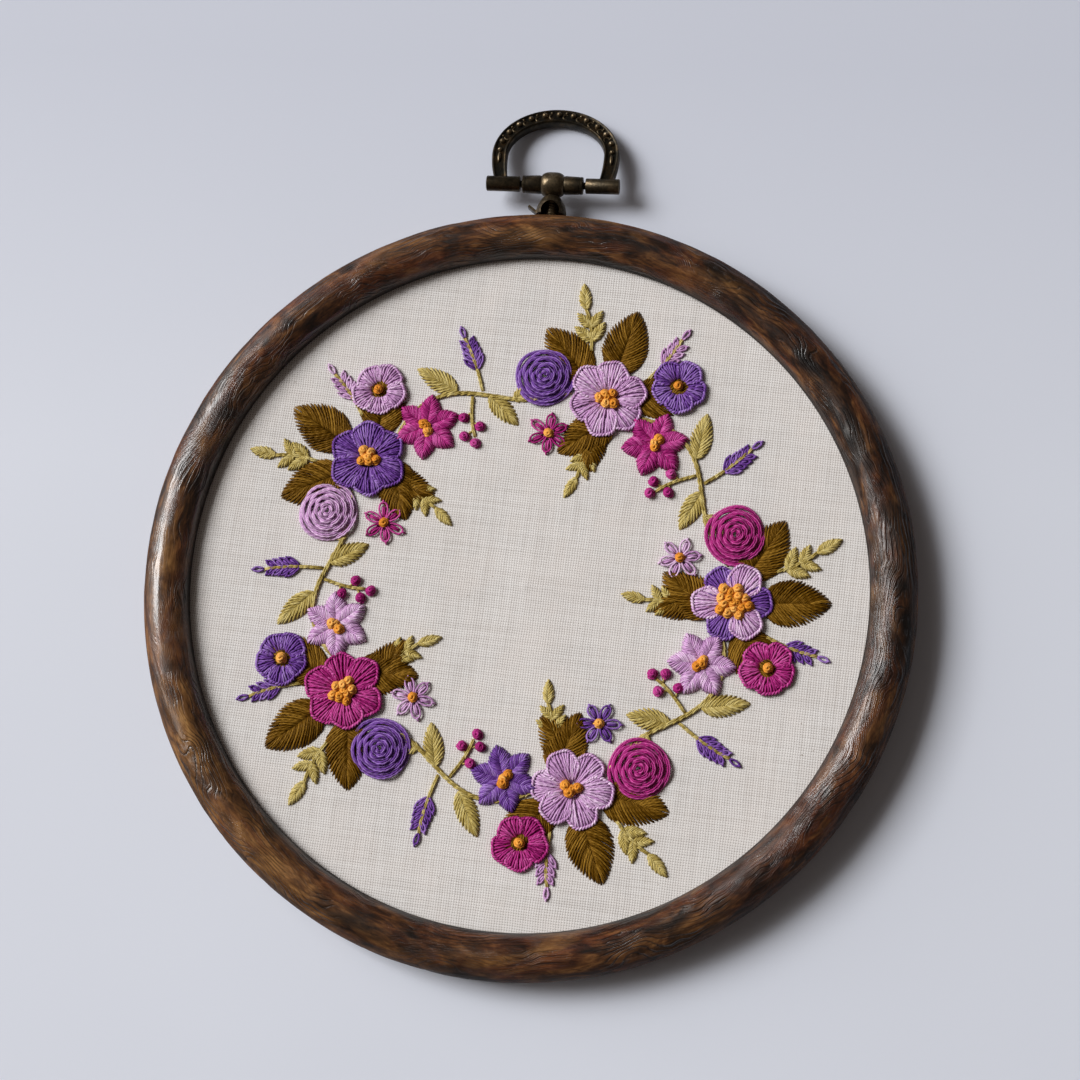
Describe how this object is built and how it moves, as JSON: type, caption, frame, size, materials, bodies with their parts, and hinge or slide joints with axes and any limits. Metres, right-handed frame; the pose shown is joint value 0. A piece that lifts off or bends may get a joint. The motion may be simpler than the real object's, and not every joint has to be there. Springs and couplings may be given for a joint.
{
  "type": "embroidered cloth in a display hoop",
  "caption": "Round calico stretched in a wood-look flexible hoop, with a flower wreath sewn on it and a hinged brass bail at the top to hang it by.",
  "frame": {"origin": "middle of the footprint on the surface that the hoop lies on, bail included", "axes": "+Z out of the cloth's front, +Y from the hoop's centre to the bail, +X to the right seen from the front"},
  "size_m": [0.137, 0.1592, 0.0094],
  "materials": {
    "ring_vinyl": "satin",
    "calico": "matte",
    "inner_plastic": "satin",
    "antique_brass": "satin",
    "thread_lilac": "satin",
    "thread_violet": "satin",
    "thread_magenta": "satin",
    "thread_orange": "satin",
    "thread_olive": "satin",
    "thread_green": "satin"
  },
  "bodies": {
    "hoop": {"outer_ring": "ring_vinyl", "cloth": "calico", "inner_ring": "inner_plastic", "hanger_post": "antique_brass", "cup_washer": "antique_brass", "hinge_pin": "antique_brass"},
    "bail": {"bail": "antique_brass"}
  },
  "joints": [
    {"name": "bail_pivot", "type": "hinge", "parent": "hoop", "child": "bail", "pos_m": [0, 0.06377, 0.0047], "axis": [1, 0, 0], "range_deg": [-128, 157]}
  ]
}
